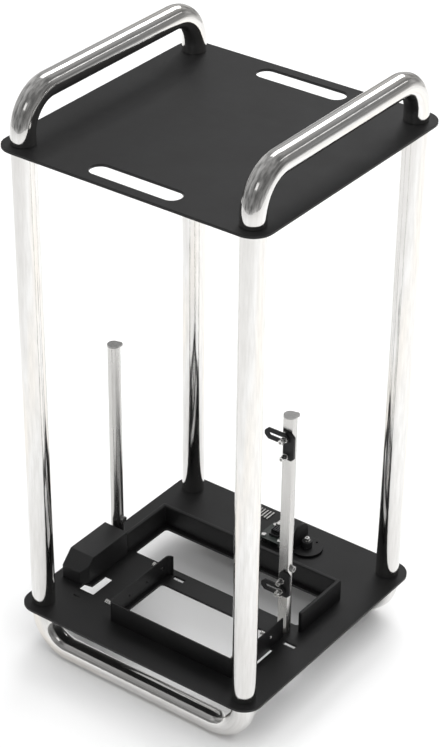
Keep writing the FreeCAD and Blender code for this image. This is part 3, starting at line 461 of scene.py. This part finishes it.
FLAT_DEGREES = 0.5
SHEET_EDGES = {
    "top_shelf": 0.5 * MM,
    "bottom_deck": 0.5 * MM,
    "bay_guard": 0.5 * MM,
    "tray_frame": 0.3 * MM,
    "supply_cover": 0.8 * MM,
}
MACHINED_EDGES = {
    "post_left": 0.3 * MM,
    "post_right": 0.3 * MM,
    "post_cap_left": 0.4 * MM,
    "post_cap_right": 0.4 * MM,
    "turntable": 0.4 * MM,
    "turntable_ear": 0.6 * MM,
    "turntable_hub": 0.8 * MM,
    "upper_bracket": 0.4 * MM,
    "lower_bracket": 0.4 * MM,
}
USUAL_EDGE = 0.2 * MM


def slot_of(name):
    """The material slot that a designed node came with."""
    return nodes[name].data.materials[0].name.split(".")[0]


def clean_sheets():
    """The plates and walls again, with whole flat faces and crisply rounded edges."""
    for name, width in SHEET_EDGES.items():
        bm = bmesh.new()
        bm.from_mesh(nodes[name].data)
        bmesh.ops.remove_doubles(bm, verts=bm.verts, dist=WELD_GAP)
        bmesh.ops.dissolve_limit(bm, angle_limit=math.radians(FLAT_DEGREES), verts=bm.verts, edges=bm.edges)
        mesh = bpy.data.meshes.new("clean_" + name)
        bm.to_mesh(mesh)
        bm.free()
        if "custom_normal" in mesh.attributes:
            mesh.attributes.remove(mesh.attributes["custom_normal"])
        smooth_by_angle(mesh, SHARP_DEGREES)
        sheet = piece("finished_" + name, mesh, slot_of(name), name)
        rounded(sheet, "rounded_edges", width, 3).harden_normals = True


def kept_pieces():
    """Every machined piece that is shown as designed: its finish and its eased edges."""
    for name, thing in nodes.items():
        thing.data.materials[0] = FINISHES[slot_of(name)]
        if not thing.hide_render:
            eased(thing, MACHINED_EDGES.get(name, USUAL_EDGE))


chrome_tubes()
clean_sheets()
kept_pieces()


# --- studio ---------------------------------------------------------------------------

FLOOR_HALF = 2.7
SOFT_FILL = 0.6
BACKGROUND_SHINE = 1.05
HANDLE_MIDDLE = Vector((0.0, 0.0, 0.65))
CAMERA_PLACE = (1.1597, -1.5820, 1.5571)
CAMERA_DIP = 0.6122
CAMERA_TURN = 0.6505
LENS_MM = 109.10
SENSOR_MM = 36.0
LENS_SHIFT = (0.0466, 0.1661)


def floor():
    mesh = bpy.data.meshes.new("floor_paper")
    corners = [(-FLOOR_HALF, -FLOOR_HALF, 0.0), (FLOOR_HALF, -FLOOR_HALF, 0.0),
               (FLOOR_HALF, FLOOR_HALF, 0.0), (-FLOOR_HALF, FLOOR_HALF, 0.0)]
    mesh.from_pydata(corners, [], [(0, 1, 2, 3)])
    thing = bpy.data.objects.new("floor_paper", mesh)
    scene.collection.objects.link(thing)
    mesh.materials.append(floor_finish())


def panel_light(name, wide, long, shine):
    """A rectangular light whose face has the given brightness."""
    light = bpy.data.lights.new(name, "AREA")
    light.shape = "RECTANGLE"
    light.size = wide
    light.size_y = long
    light.energy = shine * math.pi * wide * long
    thing = bpy.data.objects.new(name, light)
    scene.collection.objects.link(thing)
    return thing


def strip_light(name, direction, distance, wide, long, shine, along=(0.0, 1.0, 0.0)):
    """A strip of light that faces the handles from a direction, its length laid along one way."""
    thing = panel_light(name, wide, long, shine)
    out = Vector(direction).normalized()
    length_axis = (Vector(along) - out * out.dot(Vector(along))).normalized()
    width_axis = length_axis.cross(out)
    turn = Matrix((width_axis, length_axis, out)).transposed()
    thing.matrix_world = Matrix.Translation(HANDLE_MIDDLE + out * distance) @ turn.to_4x4()


class Room:
    """The studio's surroundings under construction: the world's node tree."""

    def __init__(self, name):
        scene.world = bpy.data.worlds.new(name)
        scene.world.use_nodes = True
        self.tree = scene.world.node_tree
        self.tree.nodes.clear()
        self.place = self.node("TexCoord").outputs["Generated"]
        self.axes = self.node("SeparateXYZ", {"Vector": self.place}).outputs

    def node(self, kind, sockets=None):
        """Add one node, with values or links on its sockets."""
        made = self.tree.nodes.new("ShaderNode" + kind)
        for name, value in (sockets or {}).items():
            if isinstance(value, bpy.types.NodeSocket):
                self.tree.links.new(value, made.inputs[name])
            else:
                made.inputs[name].default_value = value
        return made

    def graded(self, value, low, high, start, end):
        """A grey that runs from start to end as the value goes from low to high."""
        sockets = {"Value": value, "From Min": low, "From Max": high, "To Min": start, "To Max": end}
        return self.node("MapRange", sockets).outputs["Result"]

    def maths(self, operation, *values):
        made = self.node("Math", dict(enumerate(values)))
        made.operation = operation
        return made.outputs["Value"]


def sky():
    """Grey cluttered walls, darker to the right and in front; white where the background shows."""
    room = Room("studio")
    side_walls = room.graded(room.axes["X"], low=-1.0, high=1.0, start=0.44, end=0.2)
    low_walls = room.graded(room.axes["Z"], low=0.1, high=-0.2, start=0.15, end=0.62)
    front_shade = room.graded(room.axes["Y"], low=-1.0, high=0.2, start=0.6, end=1.0)
    noise = room.node("TexNoise", {"Vector": room.place, "Scale": 3.2, "Detail": 3.0})
    clutter = room.graded(noise.outputs["Fac"], low=0.35, high=0.65, start=0.6, end=1.7)
    shade = room.maths("MAXIMUM", side_walls, low_walls)
    shade = room.maths("MULTIPLY", shade, front_shade)
    shade = room.maths("MULTIPLY", shade, clutter)
    walls = room.node("Background", {"Color": shade})
    paper = room.node("Background", {"Color": (1.0, 1.0, 1.0, 1.0), "Strength": BACKGROUND_SHINE})
    rays = room.node("LightPath").outputs
    share = room.maths("MULTIPLY_ADD", rays["Is Diffuse Ray"], SOFT_FILL, rays["Is Camera Ray"])
    sides = {1: walls.outputs["Background"], 2: paper.outputs["Background"]}
    mix = room.node("MixShader", {"Fac": share, **sides})
    room.node("OutputWorld", {"Surface": mix.outputs["Shader"]})


def studio():
    """The floor, the walls and four soft lights."""
    floor()
    sky()
    overhead = panel_light("overhead_fill", wide=3.4, long=3.4, shine=2.35)
    overhead.location = (0.7, 0.3, 3.0)
    overhead.visible_glossy = False
    strip_light("back_strip", direction=(-0.25, 0.65, 0.72), distance=5.0, wide=1.9, long=3.6, shine=2.6)
    strip_light("right_strip", direction=(0.56, 0.65, 0.52), distance=5.0, wide=0.32, long=2.6, shine=1.3)
    strip_light("front_strip", direction=(0.2, -0.75, 0.65), distance=4.0, wide=1.0, long=1.2, shine=0.9,
                along=(1.0, 0.0, 0.0))
    scene.view_settings.view_transform = "Standard"


def camera():
    data = bpy.data.cameras.new("camera")
    thing = bpy.data.objects.new("camera", data)
    scene.collection.objects.link(thing)
    data.sensor_width = SENSOR_MM
    data.lens = LENS_MM
    data.shift_x, data.shift_y = LENS_SHIFT
    thing.location = CAMERA_PLACE
    thing.rotation_euler = (math.pi / 2 - CAMERA_DIP, 0.0, CAMERA_TURN)
    scene.camera = thing


studio()
camera()
